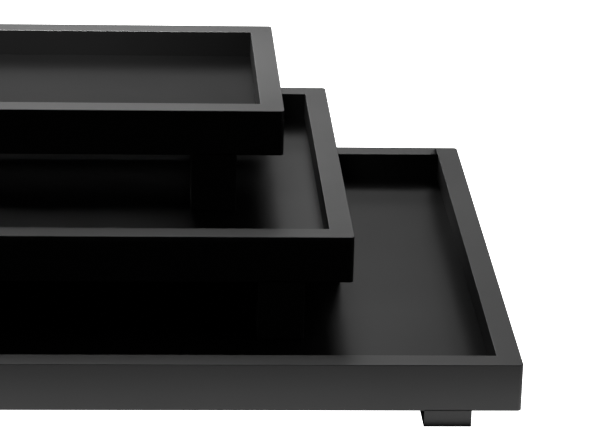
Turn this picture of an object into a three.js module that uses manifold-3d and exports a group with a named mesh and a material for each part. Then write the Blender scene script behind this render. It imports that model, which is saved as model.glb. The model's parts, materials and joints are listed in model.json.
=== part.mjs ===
// A cascade of three lacquered wooden trays of falling size, each standing on its own
// block feet in the well of the tray below, all pushed against the back walls.
// Millimetres, +Z up, the front of the cascade towards -Y. The origin is on the table,
// under the middle of the large tray.
import * as THREE from 'three';
import { mergeVertices } from 'three/addons/utils/BufferGeometryUtils.js';
import Module from 'manifold-3d';

const wasm = await Module();
wasm.setup();

// The large tray, outside its rails
const LARGE_WIDTH = 600;
const LARGE_DEPTH = 400;

// Floor left open round each upper tray, from the inner walls of the tray that holds it
const MEDIUM_SIDE_STRIP = 82.5;
const MEDIUM_FRONT_STRIP = 67;
const SMALL_SIDE_STRIP = 25;
const SMALL_FRONT_STRIP = 79;
const BACK_GAP = 3;

// Rails: one section for all three trays
const RAIL_THICKNESS = 15;
const RAIL_HEIGHT = 30;
const RIM_EASE = 1;
const CORNER_RADIUS = 2.5;

// Base panel, held in a groove along the inside of the rails
const PANEL_THICKNESS = 6;
const PANEL_RISE = 6.5;
const GROOVE_DEPTH = 4;
const PANEL_CLEARANCE = 0.3;

// Mitred corners, each with a loose tenon hidden inside the joint
const GLUE_LINE = 0.3;
const TENON_THICKNESS = 3;
const TENON_WIDTH = 12;
const TENON_COVER = 5;
const TENON_CLEARANCE = 0.3;

// Block feet: flush with the front and back faces, hooked up behind the rail
const FOOT_WIDTH = 29;
const FOOT_DEPTH = 29;
const FOOT_INSET = 30;
const LOW_FOOT_HEIGHT = 10.5;
const TALL_FOOT_HEIGHT = 38;
const FOOT_EASE = 0.8;
const FOOT_CLEARANCE = 0.3;

// Countersunk wood screws, driven up through each foot into the rail
const SCREW_RADIUS = 1.75;
const SCREW_HEAD_RADIUS = 3.5;
const SCREW_TIP = 3;
const SCREW_SINK = 1;
const SCREW_COVER = 12;
const SCREW_CLEARANCE = 0.3;

// Heights within a tray, measured from the underside of its rails
const panelTop = PANEL_RISE + PANEL_THICKNESS;
const screwInset = (RAIL_THICKNESS - GROOVE_DEPTH) / 2;

// Fineness of the round forms, and the reach of a cutting body past what it cuts
const ARC_STEPS = 2;
const SCREW_SIDES = 16;
const OVERCUT = 1;
const MERGE_DISTANCE = 1e-5;

const X = new THREE.Vector3(1, 0, 0);
const Y = new THREE.Vector3(0, 1, 0);
const Z = new THREE.Vector3(0, 0, 1);

const FINISHES = {
  lacquer: { color: 0x101011, roughness: 0.38, metalness: 0 },
  beech: { color: 0xc79f6b, roughness: 0.7, metalness: 0 },
  zinc: { color: 0xb4b8bc, roughness: 0.35, metalness: 1 },
};

function solidOf(geometry) {
  geometry.deleteAttribute('normal');
  geometry.deleteAttribute('uv');
  const merged = mergeVertices(geometry, MERGE_DISTANCE);
  const corners = merged.index.array;
  const triangles = [];
  for (let i = 0; i < corners.length; i += 3) {
    const [a, b, c] = corners.slice(i, i + 3);
    if (a !== b && b !== c && c !== a) triangles.push(a, b, c);
  }
  return new wasm.Manifold(new wasm.Mesh({
    numProp: 3,
    vertProperties: new Float32Array(merged.attributes.position.array),
    triVerts: new Uint32Array(triangles),
  }));
}

function geometryOf(solid) {
  const { vertProperties, triVerts } = solid.getMesh();
  const geometry = new THREE.BufferGeometry();
  geometry.setAttribute('position', new THREE.BufferAttribute(vertProperties, 3));
  geometry.setIndex(new THREE.BufferAttribute(triVerts, 1));
  geometry.computeVertexNormals();
  return geometry;
}

function named(name, geometry, finish) {
  const mesh = new THREE.Mesh(geometry, new THREE.MeshStandardMaterial(FINISHES[finish]));
  mesh.name = name;
  return mesh;
}

// A plan outline raised from one height to another
function prism(outline, bottom, top) {
  const options = { depth: top - bottom, curveSegments: ARC_STEPS, bevelEnabled: false };
  return new THREE.ExtrudeGeometry(outline, options).translate(0, 0, bottom);
}

function box(xRange, yRange, zRange) {
  const [x, y, z] = [xRange, yRange, zRange].map(([low, high]) => (low + high) / 2);
  const [w, d, h] = [xRange, yRange, zRange].map(([low, high]) => high - low);
  return solidOf(new THREE.BoxGeometry(w, d, h).translate(x, y, z));
}

// Rail section, outer face at 0: square below, eased along the rim, grooved inside for the panel
function railSection() {
  const grooveFloor = RAIL_THICKNESS - GROOVE_DEPTH;
  const grooveTop = panelTop + PANEL_CLEARANCE;
  const easeHeight = RAIL_HEIGHT - RIM_EASE;
  const section = new THREE.Shape();
  section.moveTo(0, 0);
  section.lineTo(RAIL_THICKNESS, 0);
  section.lineTo(RAIL_THICKNESS, PANEL_RISE);
  section.lineTo(grooveFloor, PANEL_RISE);
  section.lineTo(grooveFloor, grooveTop);
  section.lineTo(RAIL_THICKNESS, grooveTop);
  section.lineTo(RAIL_THICKNESS, easeHeight);
  section.absarc(RAIL_THICKNESS - RIM_EASE, easeHeight, RIM_EASE, 0, Math.PI / 2, false);
  section.lineTo(RIM_EASE, RAIL_HEIGHT);
  section.absarc(RIM_EASE, easeHeight, RIM_EASE, Math.PI / 2, Math.PI, false);
  section.closePath();
  return section;
}

// Rail plan: mitred at both ends, half of each rounded outer corner at its tips
function railPlan(length) {
  const half = length / 2;
  const arcCentre = half - CORNER_RADIUS;
  const arcEnd = -Math.PI / 4 - Math.asin(GLUE_LINE / (2 * CORNER_RADIUS));
  const innerHalf = half - GLUE_LINE / Math.SQRT2 - RAIL_THICKNESS;
  const plan = new THREE.Shape();
  plan.moveTo(-arcCentre, 0);
  plan.lineTo(arcCentre, 0);
  plan.absarc(arcCentre, CORNER_RADIUS, CORNER_RADIUS, -Math.PI / 2, arcEnd, false);
  plan.lineTo(innerHalf, RAIL_THICKNESS);
  plan.lineTo(-innerHalf, RAIL_THICKNESS);
  plan.absarc(-arcCentre, CORNER_RADIUS, CORNER_RADIUS, Math.PI - arcEnd, 3 * Math.PI / 2, false);
  plan.closePath();
  return plan;
}

// Tenon plan: round-edged, lying across the mitre
function tenonPlan(grow) {
  const radius = TENON_THICKNESS / 2 + grow;
  const reach = TENON_WIDTH / 2 - TENON_THICKNESS / 2;
  const plan = new THREE.Shape();
  plan.absarc(reach, 0, radius, -Math.PI / 2, Math.PI / 2, false);
  plan.absarc(-reach, 0, radius, Math.PI / 2, 3 * Math.PI / 2, false);
  plan.closePath();
  return plan;
}

function tenon(grow) {
  return prism(tenonPlan(grow), TENON_COVER - grow, RAIL_HEIGHT - TENON_COVER + grow);
}

// Screw on the Z axis with its head at 0, or with a clearance, the hole that takes it
function screw(length, grow) {
  const headRadius = SCREW_HEAD_RADIUS + grow;
  const shankRadius = SCREW_RADIUS + grow;
  const mouth = grow > 0 ? -SCREW_SINK - OVERCUT : 0;
  const profile = [
    [0, mouth],
    [headRadius, mouth],
    [headRadius, grow],
    [shankRadius, grow + headRadius - shankRadius],
    [shankRadius, length - SCREW_TIP],
    [0, length + grow],
  ];
  const points = profile.map(([radius, height]) => new THREE.Vector2(radius, height));
  return new THREE.LatheGeometry(points, SCREW_SIDES).rotateX(Math.PI / 2);
}

function screwLength(footHeight) {
  return footHeight - SCREW_SINK + RAIL_HEIGHT - SCREW_COVER;
}

// Places of a rail's two feet along it
function footPlaces(length) {
  const place = length / 2 - FOOT_INSET - FOOT_WIDTH / 2;
  return [-place, place];
}

function rail(length, footHeight, carriesFeet) {
  const run = new THREE.ExtrudeGeometry(railSection(), {
    depth: length, curveSegments: ARC_STEPS, bevelEnabled: false,
  });
  run.applyMatrix4(new THREE.Matrix4().makeBasis(Y, Z, X)).translate(-length / 2, 0, 0);
  const mitred = prism(railPlan(length), -OVERCUT, RAIL_HEIGHT + OVERCUT);
  let solid = solidOf(run).intersect(solidOf(mitred));
  for (const end of [-1, 1]) {
    const slot = tenon(TENON_CLEARANCE).rotateZ(end * Math.PI / 4);
    slot.translate(end * (length - RAIL_THICKNESS) / 2, RAIL_THICKNESS / 2, 0);
    solid = solid.subtract(solidOf(slot));
  }
  for (const place of carriesFeet ? footPlaces(length) : []) {
    const hole = screw(screwLength(footHeight), SCREW_CLEARANCE);
    hole.translate(place, screwInset, SCREW_SINK - footHeight);
    solid = solid.subtract(solidOf(hole));
  }
  return geometryOf(solid);
}

function panel(width, depth) {
  const shortfall = 2 * (RAIL_THICKNESS - GROOVE_DEPTH + PANEL_CLEARANCE);
  const board = new THREE.BoxGeometry(width - shortfall, depth - shortfall, PANEL_THICKNESS);
  return board.translate(0, 0, PANEL_RISE + PANEL_THICKNESS / 2);
}

// Block with eased edges, outer face at y = 0, its top cut to a shoulder under the rail
// and a hook that stands behind the rail up to the panel
function foot(footHeight) {
  const hookTop = footHeight + PANEL_RISE - FOOT_CLEARANCE;
  const hookFace = RAIL_THICKNESS + FOOT_CLEARANCE;
  const half = FOOT_WIDTH / 2 - FOOT_EASE;
  const plan = new THREE.Shape();
  plan.absarc(half, FOOT_EASE, FOOT_EASE, -Math.PI / 2, 0, false);
  plan.absarc(half, FOOT_DEPTH - FOOT_EASE, FOOT_EASE, 0, Math.PI / 2, false);
  plan.absarc(-half, FOOT_DEPTH - FOOT_EASE, FOOT_EASE, Math.PI / 2, Math.PI, false);
  plan.absarc(-half, FOOT_EASE, FOOT_EASE, Math.PI, 3 * Math.PI / 2, false);
  plan.closePath();
  const block = new THREE.ExtrudeGeometry(plan, {
    depth: hookTop,
    curveSegments: 1,
    bevelThickness: FOOT_EASE,
    bevelSize: FOOT_EASE / 2,
    bevelOffset: -FOOT_EASE / 2,
    bevelSegments: 1,
  });
  block.translate(0, 0, FOOT_EASE);
  const across = [-FOOT_WIDTH, FOOT_WIDTH];
  const above = hookTop + FOOT_EASE * 2 + OVERCUT;
  const railSeat = box(across, [-OVERCUT, hookFace], [footHeight, above]);
  const trim = box(across, [-OVERCUT, FOOT_DEPTH + OVERCUT], [hookTop, above]);
  const hole = screw(screwLength(footHeight), SCREW_CLEARANCE).translate(0, screwInset, SCREW_SINK);
  return geometryOf(solidOf(block).subtract(railSeat).subtract(trim).subtract(solidOf(hole)));
}

// One tray standing at z = 0: rails, panel, tenons, and a screwed foot near each corner
function tray(name, width, depth, footHeight) {
  const group = new THREE.Group();
  const add = (piece, geometry, finish) => {
    const mesh = named(`${name}_${piece}`, geometry, finish);
    group.add(mesh);
    return mesh;
  };
  const sides = [
    ['front', width, depth, 0, true],
    ['right', depth, width, Math.PI / 2, false],
    ['back', width, depth, Math.PI, true],
    ['left', depth, width, -Math.PI / 2, false],
  ];
  for (const [side, length, across, turn, carriesFeet] of sides) {
    const mesh = add(`${side}_rail`, rail(length, footHeight, carriesFeet), 'lacquer');
    mesh.rotation.z = turn;
    mesh.position.set(0, -across / 2, 0).applyAxisAngle(Z, turn).setZ(footHeight);
  }
  add('base_panel', panel(width, depth), 'lacquer').position.z = footHeight;

  for (const [end, ySign, turn] of [['front', -1, 0], ['back', 1, Math.PI]]) {
    for (const [side, xSign] of [['left', -1], ['right', 1]]) {
      const corner = `${end}_${side}`;
      const cornerX = xSign * (width - RAIL_THICKNESS) / 2;
      const cornerY = ySign * (depth - RAIL_THICKNESS) / 2;
      const cornerTenon = add(`${corner}_tenon`, tenon(0), 'beech');
      cornerTenon.rotation.z = -xSign * ySign * Math.PI / 4;
      cornerTenon.position.set(cornerX, cornerY, footHeight);

      const footX = xSign * footPlaces(width)[1];
      const cornerFoot = add(`${corner}_foot`, foot(footHeight), 'lacquer');
      cornerFoot.rotation.z = turn;
      cornerFoot.position.set(footX, ySign * depth / 2, 0);

      const footScrew = add(`${corner}_screw`, screw(screwLength(footHeight), 0), 'zinc');
      footScrew.position.set(footX, ySign * (depth / 2 - screwInset), SCREW_SINK);
    }
  }
  return group;
}

// The cascade, from the large tray up
const mediumDepth = LARGE_DEPTH - 2 * RAIL_THICKNESS - BACK_GAP - MEDIUM_FRONT_STRIP;
const mediumWidth = LARGE_WIDTH - 2 * (RAIL_THICKNESS + MEDIUM_SIDE_STRIP);
const smallDepth = mediumDepth - 2 * RAIL_THICKNESS - BACK_GAP - SMALL_FRONT_STRIP;
const smallWidth = mediumWidth - 2 * (RAIL_THICKNESS + SMALL_SIDE_STRIP);

const cascade = new THREE.Group();
let standing = 0;
let backFace = LARGE_DEPTH / 2;
for (const [name, width, depth, footHeight] of [
  ['large', LARGE_WIDTH, LARGE_DEPTH, LOW_FOOT_HEIGHT],
  ['medium', mediumWidth, mediumDepth, TALL_FOOT_HEIGHT],
  ['small', smallWidth, smallDepth, TALL_FOOT_HEIGHT],
]) {
  const group = tray(name, width, depth, footHeight);
  group.position.set(0, backFace - depth / 2, standing);
  cascade.add(group);
  standing += footHeight + panelTop;
  backFace -= RAIL_THICKNESS + BACK_GAP;
}

export default cascade;
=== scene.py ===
# %% [markdown]
# # A cascade of three black lacquered trays
#
# Three wooden trays of falling size stand in one another, each pushed to the back of the tray
# that holds it. The frame has every board, foot, tenon and screw at its real size. This lesson
# dresses that frame: the boards get their eased edges, the wood gets its satin lacquer, and a
# soft studio light brings out the edges of a black object. The object's sizes and places are read
# from the frame, so that a change of size there carries over to the boards, feet and screws.

# %% Load the frame
import json
import math

import bmesh
import bpy
from mathutils import Matrix, Vector

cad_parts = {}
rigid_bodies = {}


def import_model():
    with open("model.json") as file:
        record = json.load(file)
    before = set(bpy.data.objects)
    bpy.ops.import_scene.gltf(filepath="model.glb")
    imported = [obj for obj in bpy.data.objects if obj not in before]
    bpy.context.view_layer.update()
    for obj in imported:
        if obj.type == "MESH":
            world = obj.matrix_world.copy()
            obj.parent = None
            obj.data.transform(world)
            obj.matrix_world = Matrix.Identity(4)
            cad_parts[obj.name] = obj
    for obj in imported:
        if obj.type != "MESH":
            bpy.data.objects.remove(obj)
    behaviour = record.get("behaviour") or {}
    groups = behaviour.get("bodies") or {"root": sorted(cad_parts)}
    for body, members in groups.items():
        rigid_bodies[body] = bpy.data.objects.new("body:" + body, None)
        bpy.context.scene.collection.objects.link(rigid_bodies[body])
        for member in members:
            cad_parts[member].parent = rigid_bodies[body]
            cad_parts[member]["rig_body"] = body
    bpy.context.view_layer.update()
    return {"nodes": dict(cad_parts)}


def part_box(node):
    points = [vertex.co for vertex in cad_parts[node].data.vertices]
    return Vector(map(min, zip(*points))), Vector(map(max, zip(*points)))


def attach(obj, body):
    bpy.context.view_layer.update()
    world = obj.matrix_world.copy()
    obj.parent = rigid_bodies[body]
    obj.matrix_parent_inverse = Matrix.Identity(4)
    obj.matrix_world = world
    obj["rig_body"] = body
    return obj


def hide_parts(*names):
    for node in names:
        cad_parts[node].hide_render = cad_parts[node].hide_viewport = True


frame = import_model()
MM = 0.001

# %% [markdown]
# ## The sizes of each tray
#
# A tray is four mitred boards round a thin panel. Its whole shape follows from a few levels and
# faces, and each of them is the side of some node's box. They could be typed in again from a
# drawing, but two copies of a size sooner or later differ, so they are measured here. Heights are
# counted from the underside of the boards.

# %% Measure the trays
TRAYS = ("large", "medium", "small")
SIDES = ("front", "right", "back", "left")


def measure_tray(tray):
    front, right, back, left = (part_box(f"{tray}_{side}_rail") for side in SIDES)
    panel_low, panel_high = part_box(f"{tray}_base_panel")
    return {
        "left": left[0].x,
        "right": right[1].x,
        "front": front[0].y,
        "back": back[1].y,
        "underside": front[0].z,
        "height": front[1].z - front[0].z,
        "board": front[1].y - front[0].y,
        "groove_depth": left[1].x - panel_low.x,
        "floor": panel_high.z - front[0].z,
        "panel_underside": panel_low.z - front[0].z,
    }


sizes = {tray: measure_tray(tray) for tray in TRAYS}
for tray, size in sizes.items():
    width = (size["right"] - size["left"]) / MM
    depth = (size["back"] - size["front"]) / MM
    print(f"{tray}: {width:.1f} x {depth:.1f} mm, floor {size['floor'] / MM:.1f} mm above the underside")

# %% [markdown]
# ## Working along one side of a tray
#
# A board, and a foot under it, is easiest to draw as a carpenter sees it: so far along the board,
# so far in from its outer face, so far up from its underside. Each side of a tray is therefore
# described by the corner where it starts, the direction it runs in, the direction of the well and
# its length, and one function turns the carpenter's three numbers into a place.

# %% Describe the sides
EAST = Vector((1, 0, 0))
NORTH = Vector((0, 1, 0))
UP = Vector((0, 0, 1))


def tray_sides(size):
    left, right, front, back = (size[key] for key in ("left", "right", "front", "back"))
    level = size["underside"]
    return {
        "front": (Vector((left, front, level)), EAST, NORTH, right - left),
        "right": (Vector((right, front, level)), NORTH, -EAST, back - front),
        "back": (Vector((right, back, level)), -EAST, -NORTH, right - left),
        "left": (Vector((left, back, level)), -NORTH, EAST, back - front),
    }


def place_on(corner, along, inward):
    def placed(distance, inset, height):
        return corner + along * distance + inward * inset + UP * height
    return placed


lengths = [round(length / MM) for *_, length in tray_sides(sizes["large"]).values()]
print("the large tray's sides are", lengths, "mm long")

# %% [markdown]
# ## The section of a board
#
# A rail is planed square, and then its edges are just broken with a sanding block before the
# lacquer goes on, so that rim and face meet in a crisp line that still catches no splinter. The
# panel runs in a groove. A bevel modifier could round the edges, but it knows nothing of grooves.
# The section is drawn instead, as a list of points with the inset from the outer face, the height
# above the underside, and a third number that says how much the lacquer is rubbed there.

# %% Draw the section
RIM_EASE = 0.35 * MM
LOWER_EASE = 0.4 * MM
LACQUER_FILM = 0.02 * MM
EASE_MARGIN = 0.8 * MM
ARC_STEPS = 5
RIM_RUB = 1.0
LOWER_RUB = 0.6


def arc(inset, height, radius, start, stop, rub):
    angles = [math.radians(start + (stop - start) * i / ARC_STEPS) for i in range(ARC_STEPS + 1)]
    return [(inset + radius * math.cos(a), height + radius * math.sin(a), rub) for a in angles]


def board_section(size, lower_ease):
    top = size["height"]
    wall = size["board"]
    groove = wall - size["groove_depth"]
    floor = size["floor"] + LACQUER_FILM
    lip = size["panel_underside"] - LACQUER_FILM
    shoulder = RIM_EASE + EASE_MARGIN
    return [
        *arc(lower_ease, lower_ease, lower_ease, 270, 180, LOWER_RUB),
        (0, LOWER_EASE + EASE_MARGIN, 0),
        (0, top - shoulder, 0),
        *arc(RIM_EASE, top - RIM_EASE, RIM_EASE, 180, 90, RIM_RUB),
        (shoulder, top, 0),
        (wall - shoulder, top, 0),
        *arc(wall - RIM_EASE, top - RIM_EASE, RIM_EASE, 90, 0, RIM_RUB),
        (wall, top - shoulder, 0),
        (wall, floor, 0),
        (groove, floor, 0),
        (groove, lip, 0),
        (wall, lip, 0),
        *arc(wall - LOWER_EASE, LOWER_EASE, LOWER_EASE, 0, -90, LOWER_RUB),
    ]


print("a board's section has", len(board_section(sizes["large"], LOWER_EASE)), "points")

# %% [markdown]
# ## A skin over rings
#
# Boards, feet and screws are all long or round things, so one function makes them all: it takes a
# row of rings of points, joins each ring to the next with faces and closes both ends. The rub of
# each point is kept as an attribute that the lacquer will read. Edges that turn sharply are marked,
# so that smooth shading stops there.

# %% Skin the rings
MERGE_DISTANCE = 0.001 * MM
SHARP_ANGLE = math.radians(30)


def finish_mesh(shape):
    bmesh.ops.remove_doubles(shape, verts=shape.verts, dist=MERGE_DISTANCE)
    bmesh.ops.recalc_face_normals(shape, faces=shape.faces)
    for face in shape.faces:
        face.smooth = True
    for edge in shape.edges:
        edge.smooth = edge.calc_face_angle(0) < SHARP_ANGLE


def skin(rings, placed):
    shape = bmesh.new()
    rubbed = shape.verts.layers.float.new("rubbed")
    grid = []
    for ring in rings:
        grid.append([shape.verts.new(placed(*point[:3])) for point in ring])
        for vertex, point in zip(grid[-1], ring):
            vertex[rubbed] = point[3]
    for here, there in zip(grid, grid[1:]):
        for i in range(len(here)):
            shape.faces.new((here[i - 1], here[i], there[i], there[i - 1]))
    shape.faces.new(grid[0])
    shape.faces.new(grid[-1])
    finish_mesh(shape)
    return shape


print("edges that turn more than", round(math.degrees(SHARP_ANGLE)), "degrees stay sharp")

# %% [markdown]
# ## Sweeping the section round the tray
#
# On the real tray the four boards meet in glued mitres, sanded round at the outer corner and then
# hidden under the lacquer, so no joint line shows. The section is swept along each side from the
# middle of one rounded corner to the middle of the next. A point near the outer face turns on a
# small arc, and a point further in than the corner's radius comes to a sharp mitre. Where a block
# foot is glued on flush, the lower edge stays square, so that the two faces run on as one.

# %% Sweep a board
CORNER_RADIUS = 2.5 * MM
CORNER_STEPS = 5
MITRE_ANGLE = 45
FOOT_EASE = 0.5 * MM


def corner_place(inset, turn):
    centre = max(CORNER_RADIUS, inset)
    radius = max(CORNER_RADIUS - inset, 0)
    return centre - radius * math.sin(turn), centre - radius * math.cos(turn)


def sweep_board(size, length, foot_spans, placed):
    turns = [math.radians(MITRE_ANGLE * i / CORNER_STEPS) for i in range(CORNER_STEPS + 1)]
    eased = board_section(size, LOWER_EASE)
    square = board_section(size, 0)
    rings = []
    for turn in reversed(turns):
        rings.append([(*corner_place(inset, turn), height, rub) for inset, height, rub in eased])
    for start, stop in foot_spans:
        runs = ((start, eased), (start + FOOT_EASE, square), (stop - FOOT_EASE, square), (stop, eased))
        for distance, section in runs:
            rings.append([(distance, *point) for point in section])
    for turn in turns:
        corner = [(*corner_place(inset, turn), height, rub) for inset, height, rub in eased]
        rings.append([(length - distance, *rest) for distance, *rest in corner])
    return skin(rings, placed)


print("each outer corner turns on a radius of", CORNER_RADIUS / MM, "mm")

# %% [markdown]
# ## From a shape to a piece of the object
#
# A new mesh becomes part of the object in four steps. It gets its material, it takes the place of
# the plain solid, it rides on the tray's body so that it lifts off with it, and a weighted-normal
# modifier keeps the wide faces flat right up to their eased edges.

# %% Make a piece
def make_piece(name, shape, material, node):
    mesh = bpy.data.meshes.new(name)
    shape.to_mesh(mesh)
    shape.free()
    mesh.materials.append(material)
    piece = bpy.data.objects.new(name, mesh)
    bpy.context.scene.collection.objects.link(piece)
    normals = piece.modifiers.new("flat_faces", "WEIGHTED_NORMAL")
    normals.keep_sharp = True
    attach(piece, frame["nodes"][node]["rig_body"])
    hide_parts(node)
    return piece


# %% [markdown]
# ## Cutting holes and mortises
#
# The tenons sit in mortises, and each foot is screwed on from below. Such holes are cut with the
# boolean modifier, the saw and drill of mesh work: shape and tool become two passing objects, the
# modifier takes one from the other, and the result is read back as a mesh.

# %% Cut one shape out of another
def cut(shape, tool):
    pair = []
    for part in (shape, tool):
        mesh = bpy.data.meshes.new("cutting")
        part.to_mesh(mesh)
        part.free()
        pair.append(bpy.data.objects.new("cutting", mesh))
        bpy.context.scene.collection.objects.link(pair[-1])
    boolean = pair[0].modifiers.new("cut", "BOOLEAN")
    boolean.operation = "DIFFERENCE"
    boolean.solver = "EXACT"
    boolean.object = pair[1]
    result = bmesh.new()
    result.from_object(pair[0], bpy.context.evaluated_depsgraph_get())
    for part in pair:
        bpy.data.meshes.remove(part.data)
    finish_mesh(result)
    return result


# %% [markdown]
# ## Colours and nodes
#
# Colours are picked as sRGB hex values, as in any paint programme, but Blender shades with linear
# light, so one function turns the one into the other. Another adds a node: its own settings, and
# its inputs, each of which is either a value or the output of an earlier node.

# %% Helpers for materials
def linear(hex_colour):
    channels = [int(hex_colour[i:i + 2], 16) / 255 for i in (1, 3, 5)]
    straight = [c / 12.92 if c <= 0.04045 else ((c + 0.055) / 1.055) ** 2.4 for c in channels]
    return (*straight, 1.0)


def add_node(tree, kind, inputs=None, **settings):
    node = tree.nodes.new(kind)
    for name, value in settings.items():
        setattr(node, name, value)
    for name, value in (inputs or {}).items():
        if isinstance(value, bpy.types.NodeSocket):
            tree.links.new(value, node.inputs[name])
        else:
            node.inputs[name].default_value = value
    return node


def new_material(name):
    material = bpy.data.materials.new(name)
    material.use_nodes = True
    material.node_tree.nodes.clear()
    return material, material.node_tree


print("mid grey in linear light:", round(linear("#808080")[0], 3))

# %% [markdown]
# ## Grain
#
# Every board, foot, floor and tenon is wood, and wood has a direction. A pattern that is long one
# way and short the other two is noise in a stretched space: turn the place until the grain lies
# along X, then divide by the length and the width that one mark has in millimetres.

# %% Stretch noise along the grain
def grain_noise(tree, place, turn, length, width, detail):
    turned = add_node(tree, "ShaderNodeVectorRotate", {
        "Vector": place, "Angle": turn}, rotation_type="Z_AXIS")
    scale = (1 / (length * MM), 1 / (width * MM), 1 / (width * MM))
    stretched = add_node(tree, "ShaderNodeMapping", {"Vector": turned.outputs[0], "Scale": scale})
    noise = add_node(tree, "ShaderNodeTexNoise", {
        "Vector": stretched.outputs[0], "Scale": 1, "Detail": detail})
    return noise.outputs[0]


# %% [markdown]
# ## Satin black lacquer
#
# The trays are sprayed with black lacquer over filled and sanded wood, and flatted to a satin. Black
# lacquer sends back almost no light of its own. What the eye sees is the clear binder's surface,
# with an index near 1.5: a few per cent of mirror seen square on, much more at a low angle, blurred
# by the flatting. So the base colour is close to nothing, and the roughness does the work. Close
# up, spray leaves a faint orange peel, the wood's pores sink through as short dents along the
# grain, and the satin is a little polished where hands rub the edges. The floors of the wells
# mirror less than such a film would. They are taken as a flatter mix, whose matting powder breaks
# the film at the surface. Their index is a value for the looks, far below any real lacquer's: it was
# matched to the tone of each floor, and the small well came out flattest. Peel and pores are drawn a
# few times coarser than real ones, so that they show at all.

# %% Mix the lacquer
LACQUER_BLACK = "#020202"
LACQUER_RUBBED = "#080808"
SATIN_IOR = 1.43
SATIN_ROUGHNESS = 0.5
WELL_IOR = 1.165
FLAT_WELL_IOR = 1.132
WELL_ROUGHNESS = 0.37
FLAT_WELL_ROUGHNESS = 0.52
ROUGHNESS_DRIFT = 0.015
RUBBED_POLISH = 0.06
# The noise values that give the least and the most flatting, and the edge and bottom of a pore.
PATCH_RANGE = (0.3, 0.7)
PORE_RANGE = (0.6, 0.75)
# Sizes of the marks in millimetres.
FLATTING_PATCH = 70
PEEL_WAVE = 3
PEEL_DEPTH = 0.003
PORE_LENGTH = 16
PORE_WIDTH = 0.8
PORE_DEPTH = 0.004


def lacquer(name, grain_turn, ior, roughness):
    material, tree = new_material(name)
    place = add_node(tree, "ShaderNodeTexCoord").outputs["Object"]
    pores = grain_noise(tree, place, grain_turn, PORE_LENGTH, PORE_WIDTH, 2)
    sunk = add_node(tree, "ShaderNodeMapRange", {
        "Value": pores, "From Min": PORE_RANGE[0], "From Max": PORE_RANGE[1], "To Min": 1, "To Max": 0})
    peel = add_node(tree, "ShaderNodeTexNoise", {
        "Vector": place, "Scale": 1 / (PEEL_WAVE * MM), "Detail": 1})
    peel_bump = add_node(tree, "ShaderNodeBump", {
        "Height": peel.outputs[0], "Distance": PEEL_DEPTH * MM})
    pore_bump = add_node(tree, "ShaderNodeBump", {
        "Height": sunk.outputs[0], "Distance": PORE_DEPTH * MM, "Normal": peel_bump.outputs[0]})
    patches = add_node(tree, "ShaderNodeTexNoise", {
        "Vector": place, "Scale": 1 / (FLATTING_PATCH * MM), "Detail": 3})
    flatted = add_node(tree, "ShaderNodeMapRange", {
        "Value": patches.outputs[0], "From Min": PATCH_RANGE[0], "From Max": PATCH_RANGE[1],
        "To Min": roughness - ROUGHNESS_DRIFT, "To Max": roughness + ROUGHNESS_DRIFT})
    rubbed = add_node(tree, "ShaderNodeAttribute", attribute_name="rubbed").outputs["Fac"]
    polished = add_node(tree, "ShaderNodeMath", {
        0: rubbed, 1: -RUBBED_POLISH, 2: flatted.outputs[0]}, operation="MULTIPLY_ADD")
    tint = add_node(tree, "ShaderNodeMix", {
        0: rubbed, 6: linear(LACQUER_BLACK), 7: linear(LACQUER_RUBBED)}, data_type="RGBA")
    shader = add_node(tree, "ShaderNodeBsdfPrincipled", {
        "Base Color": tint.outputs[2], "Roughness": polished.outputs[0], "IOR": ior,
        "Normal": pore_bump.outputs[0]})
    add_node(tree, "ShaderNodeOutputMaterial", {"Surface": shader.outputs[0]})
    return material


long_grain_lacquer = lacquer("satin_black_lacquer_long_boards", 0, SATIN_IOR, SATIN_ROUGHNESS)
cross_grain_lacquer = lacquer("satin_black_lacquer_side_boards", math.pi / 2, SATIN_IOR, SATIN_ROUGHNESS)
well_lacquer = lacquer("matt_black_lacquer_wells", 0, WELL_IOR, WELL_ROUGHNESS)
flat_well_lacquer = lacquer("flat_black_lacquer_small_well", 0, FLAT_WELL_IOR, FLAT_WELL_ROUGHNESS)
print("board lacquers:", long_grain_lacquer.name, cross_grain_lacquer.name)
print("well lacquers:", well_lacquer.name, flat_well_lacquer.name)

# %% [markdown]
# ## Planed beech
#
# The loose tenons that key the mitres are bare beech, planed to slide in. Beech is a pale, slightly
# pink brown with soft growth bands a few millimetres wide, and is known by its flecks: short dark
# strokes along the grain. Planing leaves it half matt. A tenon's grain runs across the mitre, which
# is one diagonal or the other, so the wood is mixed twice.

# %% Saw the beech
BEECH_PALE = "#d2ab80"
BEECH_BAND = "#c0946a"
BEECH_FLECK = "#8e6440"
BEECH_IOR = 1.5
BEECH_ROUGHNESS = (0.48, 0.58)
FLECK_RANGE = (0.6, 0.7)
# Sizes of the bands and flecks in millimetres.
BAND_LENGTH = 60
BAND_WIDTH = 3
FLECK_LENGTH = 2.5
FLECK_WIDTH = 0.35
FLECK_DEPTH = 0.03


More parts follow.
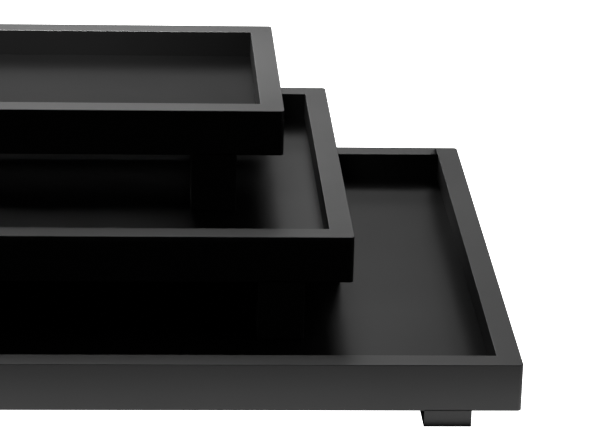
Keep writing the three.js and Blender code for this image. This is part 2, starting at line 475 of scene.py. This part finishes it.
def beech(name, grain_turn):
    material, tree = new_material(name)
    place = add_node(tree, "ShaderNodeTexCoord").outputs["Object"]
    bands = grain_noise(tree, place, grain_turn, BAND_LENGTH, BAND_WIDTH, 3)
    wood = add_node(tree, "ShaderNodeMix", {
        0: bands, 6: linear(BEECH_PALE), 7: linear(BEECH_BAND)}, data_type="RGBA")
    marks = grain_noise(tree, place, grain_turn, FLECK_LENGTH, FLECK_WIDTH, 1)
    flecks = add_node(tree, "ShaderNodeMapRange", {
        "Value": marks, "From Min": FLECK_RANGE[0], "From Max": FLECK_RANGE[1]})
    colour = add_node(tree, "ShaderNodeMix", {
        0: flecks.outputs[0], 6: wood.outputs[2], 7: linear(BEECH_FLECK)}, data_type="RGBA")
    planed = add_node(tree, "ShaderNodeMapRange", {
        "Value": bands, "To Min": BEECH_ROUGHNESS[0], "To Max": BEECH_ROUGHNESS[1]})
    dents = add_node(tree, "ShaderNodeBump", {
        "Height": flecks.outputs[0], "Distance": FLECK_DEPTH * MM}, invert=True)
    shader = add_node(tree, "ShaderNodeBsdfPrincipled", {
        "Base Color": colour.outputs[2], "Roughness": planed.outputs[0], "IOR": BEECH_IOR,
        "Normal": dents.outputs[0]})
    add_node(tree, "ShaderNodeOutputMaterial", {"Surface": shader.outputs[0]})
    return material


rising_beech = beech("planed_beech_rising_diagonal", -math.pi / 4)
falling_beech = beech("planed_beech_falling_diagonal", math.pi / 4)
print("beech:", rising_beech.name, falling_beech.name)

# %% [markdown]
# ## Bright zinc on steel
#
# Wood screws are steel wire, headed and rolled cold, then plated with bright zinc. Zinc is a cool
# grey metal, shiny but never quite even: the plating grows in patches under a millimetre wide,
# which differ a little in tint and in gloss.

# %% Plate the steel
ZINC_LIGHT = "#d2d6da"
ZINC_DARK = "#b0b5bb"
ZINC_ROUGHNESS = (0.2, 0.32)
# Width and depth of a patch in millimetres.
ZINC_PATCH = 0.7
ZINC_DEPTH = 0.004

zinc, tree = new_material("bright_zinc_plated_steel")
place = add_node(tree, "ShaderNodeTexCoord").outputs["Object"]
patches = add_node(tree, "ShaderNodeTexNoise", {
    "Vector": place, "Scale": 1 / (ZINC_PATCH * MM), "Detail": 3}).outputs[0]
tint = add_node(tree, "ShaderNodeMix", {
    0: patches, 6: linear(ZINC_LIGHT), 7: linear(ZINC_DARK)}, data_type="RGBA")
gloss = add_node(tree, "ShaderNodeMapRange", {
    "Value": patches, "To Min": ZINC_ROUGHNESS[0], "To Max": ZINC_ROUGHNESS[1]})
grown = add_node(tree, "ShaderNodeBump", {"Height": patches, "Distance": ZINC_DEPTH * MM})
shader = add_node(tree, "ShaderNodeBsdfPrincipled", {
    "Base Color": tint.outputs[2], "Metallic": 1, "Roughness": gloss.outputs[0],
    "Normal": grown.outputs[0]})
add_node(tree, "ShaderNodeOutputMaterial", {"Surface": shader.outputs[0]})
print("plating:", zinc.name)

# %% [markdown]
# ## Wood screws
#
# A countersunk screw comes up through each foot into the board above it. Its head is a cone of 45
# degrees, a third of its length is plain shank, and the rest is a thread rolled round a thinner
# core. The thread could be a swept curve, but on a grid of rings it is a formula: at each height
# and angle the radius is the core's plus a ridge that climbs one pitch in one turn. The cross
# recess is cut with a tapered cross.

# %% Turn a screw
ROUND_STEPS = 24
SHANK_RADIUS = 1.75 * MM
CORE_SHARE = 0.68
THREAD_PITCH = 1.7 * MM
THREAD_FLANK = 0.3
ROWS_PER_PITCH = 6
PLAIN_SHARE = 0.35
POINT_LENGTH = 3 * MM
POINT_SHARE = 0.05
HEAD_RIM = 0.15 * MM
# Height, reach and half width of the cross in millimetres, at its mouth and at its bottom.
RECESS = ((-0.1, 2.1, 0.5), (1.7, 0.9, 0.3))


def round_ring(height, radius_at):
    angles = [math.tau * i / ROUND_STEPS for i in range(ROUND_STEPS)]
    return [(radius_at(a) * math.cos(a), radius_at(a) * math.sin(a), height, 0) for a in angles]


def plain_rings(profile, clear=0):
    return [round_ring(height, lambda angle, radius=radius: radius + clear) for height, radius in profile]


def threaded_ring(height, length):
    fade = max(POINT_SHARE, min(1, (length - height) / POINT_LENGTH))

    def radius_at(angle):
        turn = (height / THREAD_PITCH - angle / math.tau) % 1
        ridge = max(0, 1 - abs(turn - 0.5) / THREAD_FLANK)
        return SHANK_RADIUS * fade * (CORE_SHARE + (1 - CORE_SHARE) * ridge)
    return round_ring(height, radius_at)


def cross_ring(height, reach, half_width):
    arm = ((reach, -half_width), (reach, half_width), (half_width, half_width))
    quarter_turns = ((1, 0), (0, 1), (-1, 0), (0, -1))
    points = [(x * c - y * s, x * s + y * c) for c, s in quarter_turns for x, y in arm]
    return [(x * MM, y * MM, height * MM, 0) for x, y in points]


def measure_screw(node):
    low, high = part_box(node)
    axis = Vector(((low.x + high.x) / 2, (low.y + high.y) / 2, low.z))
    return axis, (high.x - low.x) / 2, high.z - low.z


def turn_screw(node):
    axis, head, length = measure_screw(node)
    placed = place_on(axis, EAST, NORTH)
    rings = plain_rings([
        (0, head - HEAD_RIM),
        (HEAD_RIM, head),
        (head - SHANK_RADIUS, SHANK_RADIUS),
        (PLAIN_SHARE * length, SHANK_RADIUS),
    ])
    rows = int((1 - PLAIN_SHARE) * length / THREAD_PITCH * ROWS_PER_PITCH)
    step = (1 - PLAIN_SHARE) * length / rows
    rings += [threaded_ring(PLAIN_SHARE * length + row * step, length) for row in range(1, rows + 1)]
    return cut(skin(rings, placed), skin([cross_ring(*ring) for ring in RECESS], placed))


for tray in TRAYS:
    for side in ("front", "back"):
        for end in ("left", "right"):
            node = f"{tray}_{side}_{end}_screw"
            name = f"{tray}_{side}_{end}_woodscrew"
            screw = make_piece(name, turn_screw(node), zinc, node)
    print(screw.name, "and three like it have", len(screw.data.polygons), "faces each")

# %% [markdown]
# ## The twelve boards and three floors
#
# Front and back boards carry the feet, and take a pilot hole for each screw. Every board end has
# half of a mortise, cut with the tenon itself, grown by a hair so that it slides in. The floor
# panels are flat boards whose edges are hidden in the grooves, and the tenons are hidden slips of
# wood, so the frame's own solids are right as they are and only need their lacquer or beech.

# %% Build the boards
PILOT_CLEAR = 0.1 * MM
TENON_FIT = 1.02
BELOW_HEAD = 3 * MM


def screw_hole(node, clear):
    axis, head, length = measure_screw(node)
    rings = plain_rings([
        (-BELOW_HEAD, head),
        (0, head),
        (head - SHANK_RADIUS, SHANK_RADIUS),
        (length, SHANK_RADIUS),
    ], clear)
    return skin(rings, place_on(axis, EAST, NORTH))


def mortise(node):
    low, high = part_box(node)
    middle = (low + high) / 2
    tool = bmesh.new()
    tool.from_mesh(frame["nodes"][node].data)
    fit = Vector((TENON_FIT, TENON_FIT, TENON_FIT))
    bmesh.ops.scale(tool, vec=fit, space=Matrix.Translation(-middle), verts=tool.verts)
    finish_mesh(tool)
    return tool


def feet_of(tray, side):
    if side in ("front", "back"):
        return [f"{tray}_{side}_{end}" for end in ("left", "right")]
    return []


def ends_of(tray, side):
    return feet_of(tray, side) or [f"{tray}_{other}_{side}" for other in ("front", "back")]


for tray, size in sizes.items():
    for side, (corner, along, inward, length) in tray_sides(size).items():
        boxes = [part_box(f"{foot}_foot") for foot in feet_of(tray, side)]
        spans = sorted(sorted((point - corner).dot(along) for point in box) for box in boxes)
        shape = sweep_board(size, length, spans, place_on(corner, along, inward))
        for end in ends_of(tray, side):
            shape = cut(shape, mortise(f"{end}_tenon"))
        for foot in feet_of(tray, side):
            shape = cut(shape, screw_hole(f"{foot}_screw", PILOT_CLEAR))
        material = long_grain_lacquer if spans else cross_grain_lacquer
        node = f"{tray}_{side}_rail"
        board = make_piece(f"{tray}_{side}_board", shape, material, node)
        print(board.name, "has", len(board.data.polygons), "faces")
    well = flat_well_lacquer if tray == "small" else well_lacquer
    frame["nodes"][f"{tray}_base_panel"].material_slots[0].material = well
    for end in ends_of(tray, "front") + ends_of(tray, "back"):
        rising = end.endswith(("front_left", "back_right"))
        wood = rising_beech if rising else falling_beech
        frame["nodes"][f"{end}_tenon"].material_slots[0].material = wood

# %% [markdown]
# ## Block feet
#
# Each tray stands on four square blocks, flush with the front and back boards. A foot has a step:
# the board rests on the low part, and the high part hooks up behind it, so the glue and the screw
# don't carry a shove alone. The section across the step is swept along the board, and at both ends
# it shrinks on a quarter circle, which eases the ends with the same radius as the other edges.

# %% Shape the feet
HOOK_GAP = 0.3 * MM
HOLE_CLEAR = 0.3 * MM


def foot_section(depth, bottom, top, hook, shrink):
    radius = FOOT_EASE - shrink
    front, back = shrink + radius, depth - shrink - radius
    low, high = bottom + shrink + radius, top - shrink - radius
    return [
        *arc(front, low, radius, 270, 180, LOWER_RUB),
        (shrink, 0, 0),
        (hook + shrink, 0, 0),
        *arc(hook + shrink + radius, high, radius, 180, 90, 0),
        *arc(back, high, radius, 90, 0, 0),
        *arc(back, low, radius, 0, -90, LOWER_RUB),
    ]


def shape_foot(node, size, corner, along, inward):
    low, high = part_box(node)
    start, stop = sorted((point - corner).dot(along) for point in (low, high))
    depth = max((point - corner).dot(inward) for point in (low, high))
    bottom, top = low.z - corner.z, high.z - corner.z
    rings = []
    for i in range(ARC_STEPS + 1):
        turn = math.pi / 2 * i / ARC_STEPS
        shrink = FOOT_EASE * (1 - math.sin(turn))
        section = foot_section(depth, bottom, top, size["board"] + HOOK_GAP, shrink)
        rings.append([(start + FOOT_EASE * (1 - math.cos(turn)), *point) for point in section])
    rings += [[(start + stop - distance, *rest) for distance, *rest in ring] for ring in reversed(rings)]
    return skin(rings, place_on(corner, along, inward))


for tray, size in sizes.items():
    for side, (corner, along, inward, _) in tray_sides(size).items():
        for foot in feet_of(tray, side):
            node = f"{foot}_foot"
            shape = shape_foot(node, size, corner, along, inward)
            shape = cut(shape, screw_hole(f"{foot}_screw", HOLE_CLEAR))
            block = make_piece(f"{foot}_block", shape, long_grain_lacquer, node)
    print(block.name, "is", round(block.dimensions.z / MM, 1), "mm high to the top of its hook")

# %% [markdown]
# ## A white floor that glows
#
# Black things are often shot on a lit sheet of opal acrylic: light from below takes away the
# shadows, and its mirror image draws the lower edge of the front. The upper trays' fronts would
# mirror it too, and turn grey. In a studio black flags are laid round the set for that, so that
# only a strip of the sheet glows close to it. Here the flags are black sheets that the camera doesn't
# see, while mirror rays and light do: painted shade, so that the fronts mirror black where the camera
# sees a white floor. They go round all sides, so that no side of the set turns grey.

# %% Lay the floor and the flags
FLOOR_HALF = 15.0
FLOOR_TINT = "#898989"
FLOOR_GLOW = 2.4
FLAG_GAP = 70 * MM
FLAG_LIFT = 0.3 * MM
FLAG_TUCK = 6 * MM
PAINTED_SHADE_BLACK = "#020202"


def put_sheet(name, corners, material):
    mesh = bpy.data.meshes.new(name)
    mesh.from_pydata(corners, [], [(0, 1, 2, 3)])
    mesh.materials.append(material)
    sheet = bpy.data.objects.new(name, mesh)
    bpy.context.scene.collection.objects.link(sheet)
    return sheet


def lying(left, right, front, back, height):
    return [(left, front, height), (right, front, height), (right, back, height), (left, back, height)]


acrylic, tree = new_material("lit_opal_acrylic")
shader = add_node(tree, "ShaderNodeBsdfPrincipled", {
    "Base Color": linear(FLOOR_TINT), "Roughness": 1, "Specular IOR Level": 0,
    "Emission Color": (1, 1, 1, 1), "Emission Strength": FLOOR_GLOW})
add_node(tree, "ShaderNodeOutputMaterial", {"Surface": shader.outputs[0]})
put_sheet("floor", lying(-FLOOR_HALF, FLOOR_HALF, -FLOOR_HALF, FLOOR_HALF, 0), acrylic)

# Painted shade: the flags and the cards below share this black, which mirror rays and light see and the
# camera doesn't.
painted_shade_sheet, tree = new_material("painted_shade_black_sheet")
shader = add_node(tree, "ShaderNodeBsdfPrincipled", {
    "Base Color": linear(PAINTED_SHADE_BLACK), "Roughness": 1, "Specular IOR Level": 0})
add_node(tree, "ShaderNodeOutputMaterial", {"Surface": shader.outputs[0]})
left, right, front, back = (sizes["large"][key] for key in ("left", "right", "front", "back"))
flags = (
    ("flag_front", -FLOOR_HALF, FLOOR_HALF, -FLOOR_HALF, front - FLAG_GAP),
    ("flag_back", -FLOOR_HALF, FLOOR_HALF, back + FLAG_GAP, FLOOR_HALF),
    ("flag_left", -FLOOR_HALF, left - FLAG_GAP, front - FLAG_GAP, back + FLAG_GAP),
    ("flag_right", right + FLAG_GAP, FLOOR_HALF, front - FLAG_GAP, back + FLAG_GAP),
    ("flag_under", left - FLAG_TUCK, right + FLAG_TUCK, front - FLAG_TUCK, back + FLAG_TUCK),
)
for name, *edges in flags:
    flag = put_sheet(name, lying(*edges, FLAG_LIFT), painted_shade_sheet)
    flag.visible_camera = False
print("a strip", round((FLAG_GAP - FLAG_TUCK) / MM), "mm wide is left glowing round the set")

# %% [markdown]
# ## Black cards under the upper trays
#
# The medium and the small tray stand on tall feet. Light from behind would shine through between
# the feet and turn the wells under them grey, while the picture is black there. So black cards stand
# under the edges of both trays, and again the camera doesn't see them: they are painted shade, which
# keeps the wells under the trays and their reflections black. They were matched to the picture, and
# say nothing about the feet. The right card starts further back, and the right side of the small
# tray has none, because some light does come in there. The back card of the small tray leaves a slot
# over the rim behind it, for a thin line of light that will draw the front of the medium well. The
# cards hang on their trays, so that none is left standing in a well when its tray is lifted off.

# %% Stand the cards
CARD_INSET = 0.2 * MM
CARD_GAP = 1 * MM
CARD_SETBACK = 102 * MM
CARD_SLOT = 18.5 * MM


def standing(start, stop, low, high):
    return [(*start, low), (*stop, low), (*stop, high), (*start, high)]


def hang_card(name, corners, tray):
    card = put_sheet(name, corners, painted_shade_sheet)
    card.visible_camera = False
    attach(card, frame["nodes"][f"{tray}_base_panel"]["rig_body"])


for tray, holder in (("medium", "large"), ("small", "medium")):
    size = sizes[tray]
    left, right = size["left"] + CARD_INSET, size["right"] - CARD_INSET
    front, back = size["front"] + CARD_SETBACK, size["back"] - CARD_INSET
    low = sizes[holder]["underside"] + sizes[holder]["floor"] + CARD_GAP
    high = size["underside"] - CARD_GAP
    slot = low + CARD_SLOT if tray == "small" else low
    cards = [
        (f"card_left_under_{tray}", standing((left, size["front"]), (left, back), low, high)),
        (f"card_back_under_{tray}", standing((left, back), (right, back), slot, high)),
    ]
    if tray == "medium":
        cards.append((f"card_right_under_{tray}", standing((right, front), (right, back), low, high)))
    for name, corners in cards:
        hang_card(name, corners, tray)
    print(len(cards), "cards,", round((high - low) / MM), "mm high, stand under the", tray, "tray")

# %% [markdown]
# ## Two cards on the rims
#
# A satin floor darkens towards a wall, because it mirrors the wall. These low walls give narrower
# dark bands than the picture has, and a wider band takes a higher wall, or a card on top of it. The
# cards are black sheets that the camera doesn't see: painted shade, which widens the dark bands in
# the mirroring floors. One card stands on the inner edge of the large tray's right board and leans
# over the well. It starts well behind the front board, to stay out of that rim's reflection. A low
# one stands on the inner edge of the medium tray's back board, right of the small tray.

# %% Set the cards on the rims
LEANING_CARD_HEIGHT = 18 * MM
LEANING_CARD_LEAN = 7 * MM
LEANING_CARD_LEAD = 60 * MM
LOW_CARD_HEIGHT = 4.5 * MM

size = sizes["large"]
foot = size["right"] - size["board"] - CARD_INSET
head = foot - LEANING_CARD_LEAN
front, back = size["front"] + LEANING_CARD_LEAD, size["back"]
low = size["underside"] + size["height"]
high = low + LEANING_CARD_HEIGHT
corners = [(foot, front, low), (foot, back, low), (head, back, high), (head, front, high)]
hang_card("card_over_large_well", corners, "large")
print("a card", round(LEANING_CARD_HEIGHT / MM), "mm high leans over the large well")

size = sizes["medium"]
left, right = sizes["small"]["right"], size["right"] - size["board"]
back = size["back"] - size["board"] - CARD_INSET
low = size["underside"] + size["height"]
corners = standing((left, back), (right, back), low, low + LOW_CARD_HEIGHT)
hang_card("card_behind_medium_well", corners, "medium")
print("a card", round(LOW_CARD_HEIGHT / MM, 1), "mm high stands behind the medium well")

# %% [markdown]
# ## The room and the far soft boxes
#
# For a mirror-like object one thing matters most: how bright the surroundings are in each direction.
# So the far light is drawn straight into the world, as soft boxes. Each has an azimuth for its middle,
# a half width, and two elevations, all in degrees. Azimuth 0 is straight behind the trays and 90 is to
# the right. A tall box behind runs along the rims and down into the wells, and a dimmer one below it
# fills the wells. A low one further left reaches the inner faces of the right boards. The boxes on
# the other sides and overhead only pick out edges, so that the set reads from every side. The rest
# of the room is nearly dark.

# %% Light the room
# Name, azimuth of the middle, half width, lowest and highest elevation, luminance.
FAR_BOXES = (
    ("tall_box_behind", -2.5, 8.5, 29, 64, 5.0),
    ("low_box_behind", -1.5, 8.5, 14, 19, 1.3),
    ("low_box_behind_left", -34, 14, 5, 20, 4.0),
    ("box_left", -90, 30, 15, 45, 1.2),
    ("box_right", 90, 30, 15, 45, 1.2),
    ("overhead", 0, 182, 74, 92, 1.2),
)
SOFT_EDGE = math.radians(2)
ROOM_GLOW = 0.01

world = bpy.data.worlds.new("studio")
bpy.context.scene.world = world
world.use_nodes = True
tree = world.node_tree
tree.nodes.clear()
direction = add_node(tree, "ShaderNodeTexCoord").outputs["Generated"]
height = add_node(tree, "ShaderNodeSeparateXYZ", {0: direction}).outputs["Z"]
elevation = add_node(tree, "ShaderNodeMath", {0: height}, operation="ARCSINE").outputs[0]
level = add_node(tree, "ShaderNodeVectorMath", {
    0: direction, 1: (1, 1, 0)}, operation="MULTIPLY").outputs[0]
heading = add_node(tree, "ShaderNodeVectorMath", {0: level}, operation="NORMALIZE").outputs[0]


def window(angle, edge, rise):
    return add_node(tree, "ShaderNodeMapRange", {
        "Value": angle,
        "From Min": edge - rise * SOFT_EDGE,
        "From Max": edge + rise * SOFT_EDGE}, interpolation_type="SMOOTHSTEP").outputs[0]


light = ROOM_GLOW
for name, middle, half_width, low, high, luminance in FAR_BOXES:
    middle, half_width, low, high = (math.radians(angle) for angle in (middle, half_width, low, high))
    toward = (math.sin(middle), math.cos(middle), 0)
    likeness = add_node(tree, "ShaderNodeVectorMath", {0: heading, 1: toward}, operation="DOT_PRODUCT")
    aside = add_node(tree, "ShaderNodeMath", {
        0: likeness.outputs["Value"]}, operation="ARCCOSINE").outputs[0]
    glow = luminance
    for edge in (window(aside, half_width, -1), window(elevation, low, 1), window(elevation, high, -1)):
        glow = add_node(tree, "ShaderNodeMath", {0: edge, 1: glow}, operation="MULTIPLY").outputs[0]
    light = add_node(tree, "ShaderNodeMath", {0: glow, 1: light}, operation="ADD").outputs[0]
    print(name, "is", round(math.degrees(high - low)), "degrees high")
background = add_node(tree, "ShaderNodeBackground", {"Color": (1, 1, 1, 1), "Strength": light})
add_node(tree, "ShaderNodeOutputWorld", {"Surface": background.outputs[0]})

# %% [markdown]
# ## Lamps close to the set
#
# A far box lights all three trays alike, but the upper trays are lighter than the large one. A strip
# that stands close behind, just over the set, does that: the higher and further back a rim lies, the
# more of the strip it mirrors. A dimmer strip beside it keeps the right end of the large well lit, and
# a thin slit lies so low that it reaches only the front of the medium well, through under the small
# tray. A wall on the left lights the inner faces that look that way, and a snooted lamp hangs over
# the top tray, because its back board and floor are lighter than those below. Area lamps stand in
# for them all. Each has the place of its middle, a width, a height, a tilt and a spread in degrees,
# and a luminance, from which its power in watts is worked out. The camera doesn't see them.

# %% Hang the lamps
# Name, place in metres, width, height, tilt, spread, luminance.
LAMPS = (
    ("strip_close_behind", (-0.07, 0.8, 0.45), 0.86, 0.14, -90, 180, 3.1),
    ("strip_close_behind_right", (0.58, 0.8, 0.367), 0.44, 0.166, -90, 180, 0.7),
    ("slit_low_behind", (-0.09, 0.3, 0.1015), 0.38, 0.004, -90, 180, 36),
    ("wall_close_behind_left", (-0.825, 0.5, 0.515), 0.95, 0.47, -90, 180, 2.0),
    ("snoot_over_top_tray", (0, 0.1, 0.36), 0.26, 0.05, 6, 70, 26),
)

for name, place, width, height, tilt, spread, luminance in LAMPS:
    lamp = bpy.data.lights.new(name, "AREA")
    lamp.shape = "RECTANGLE"
    lamp.size = width
    lamp.size_y = height
    lamp.spread = math.radians(spread)
    lamp.energy = luminance * math.pi * width * height
    hung = bpy.data.objects.new(name, lamp)
    hung.location = place
    hung.rotation_euler = (math.radians(tilt), 0, 0)
    hung.visible_camera = False
    bpy.context.scene.collection.objects.link(hung)
    print(name, "gives", round(lamp.energy, 2), "W")

# %% [markdown]
# ## The camera
#
# The picture was taken with a long lens, a little above the trays and a touch from the left, with
# the left ends out of the frame. A few edges of known size, followed through the picture, give the
# camera's place, its tilt and its lens.

# %% Place the camera
CAMERA_PLACE = Vector((53.8, -1911.6, 767.5)) * MM
CAMERA_LENS = 190.06
CAMERA_DOWN = math.radians(20.339)
CAMERA_RIGHT = math.radians(3.553)
CAMERA_ROLL = math.radians(1.534)
CAMERA_REACH = 50.0

camera_data = bpy.data.cameras.new("camera")
camera_data.lens = CAMERA_LENS
camera_data.clip_end = CAMERA_REACH
camera = bpy.data.objects.new("camera", camera_data)
bpy.context.scene.collection.objects.link(camera)
camera.matrix_world = (
    Matrix.Translation(CAMERA_PLACE)
    @ Matrix.Rotation(-CAMERA_RIGHT, 4, "Z")
    @ Matrix.Rotation(math.pi / 2 - CAMERA_DOWN, 4, "X")
    @ Matrix.Rotation(CAMERA_ROLL, 4, "Z")
)
bpy.context.scene.camera = camera
bpy.context.scene.view_settings.view_transform = "Standard"
print("camera", round(CAMERA_PLACE.length, 3), "m from the origin")
